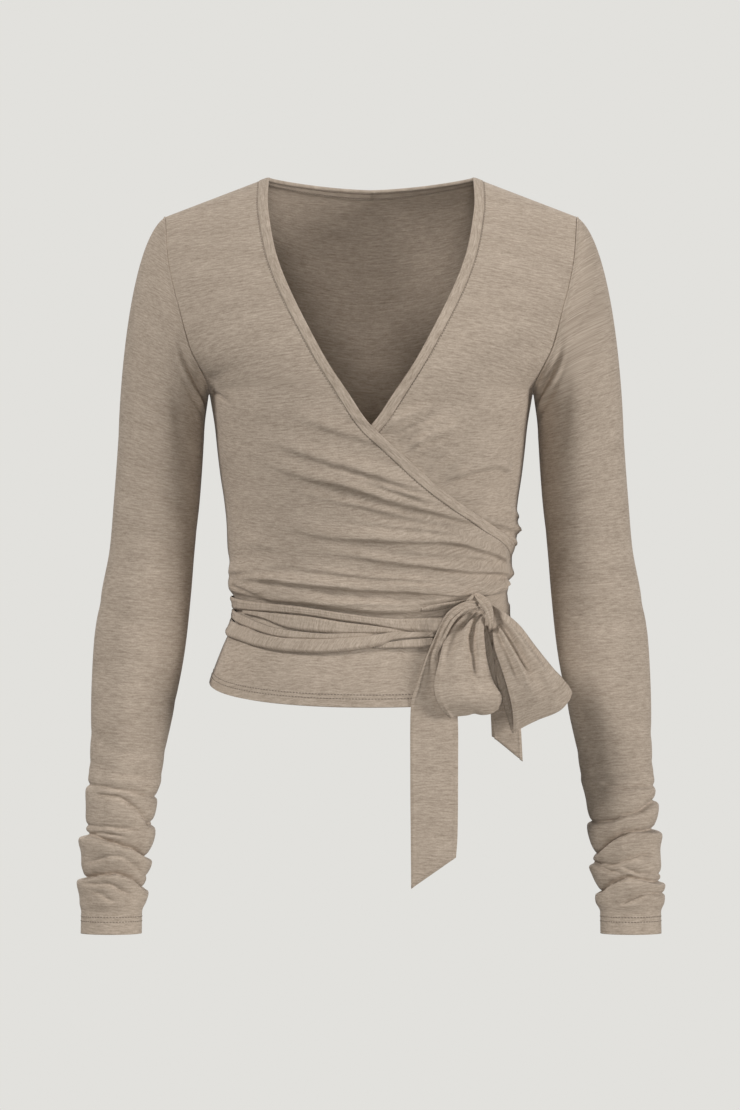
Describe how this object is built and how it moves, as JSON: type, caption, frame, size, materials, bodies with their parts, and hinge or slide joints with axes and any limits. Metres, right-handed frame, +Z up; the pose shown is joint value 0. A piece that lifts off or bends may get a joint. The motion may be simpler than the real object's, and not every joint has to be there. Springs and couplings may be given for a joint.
{
  "type": "wrap top, filled out with no wearer",
  "caption": "Long-sleeved wrap top in fine taupe heather jersey, V neck, waist tie wrapped round and tied in a bow at the side, sleeves pushed up at the wrists.",
  "frame": {"origin": "midway between the two shoulder points, at their height, where the wearer's shoulders hold the top", "axes": "+Z up along the body, -Y is the front, -X is the wearer's right"},
  "size_m": [0.533, 0.2217, 0.686],
  "materials": {
    "jersey": "matte"
  },
  "bodies": {
    "root": {"back": "jersey", "front_over": "jersey", "front_under": "jersey", "sleeve_right": "jersey", "sleeve_left": "jersey", "binding_over": "jersey", "binding_under": "jersey", "neckband_back": "jersey", "tie_front_upper": "jersey", "tie_front_middle": "jersey", "tie_front_crossing": "jersey", "tie_front_lower": "jersey", "tie_front_lowest": "jersey", "tie_front_end": "jersey", "tie_back_upper": "jersey", "tie_back_lower": "jersey", "bow_knot": "jersey", "bow_loop_right": "jersey", "bow_loop_left": "jersey", "bow_end_long": "jersey", "bow_end_short": "jersey"}
  },
  "joints": []
}
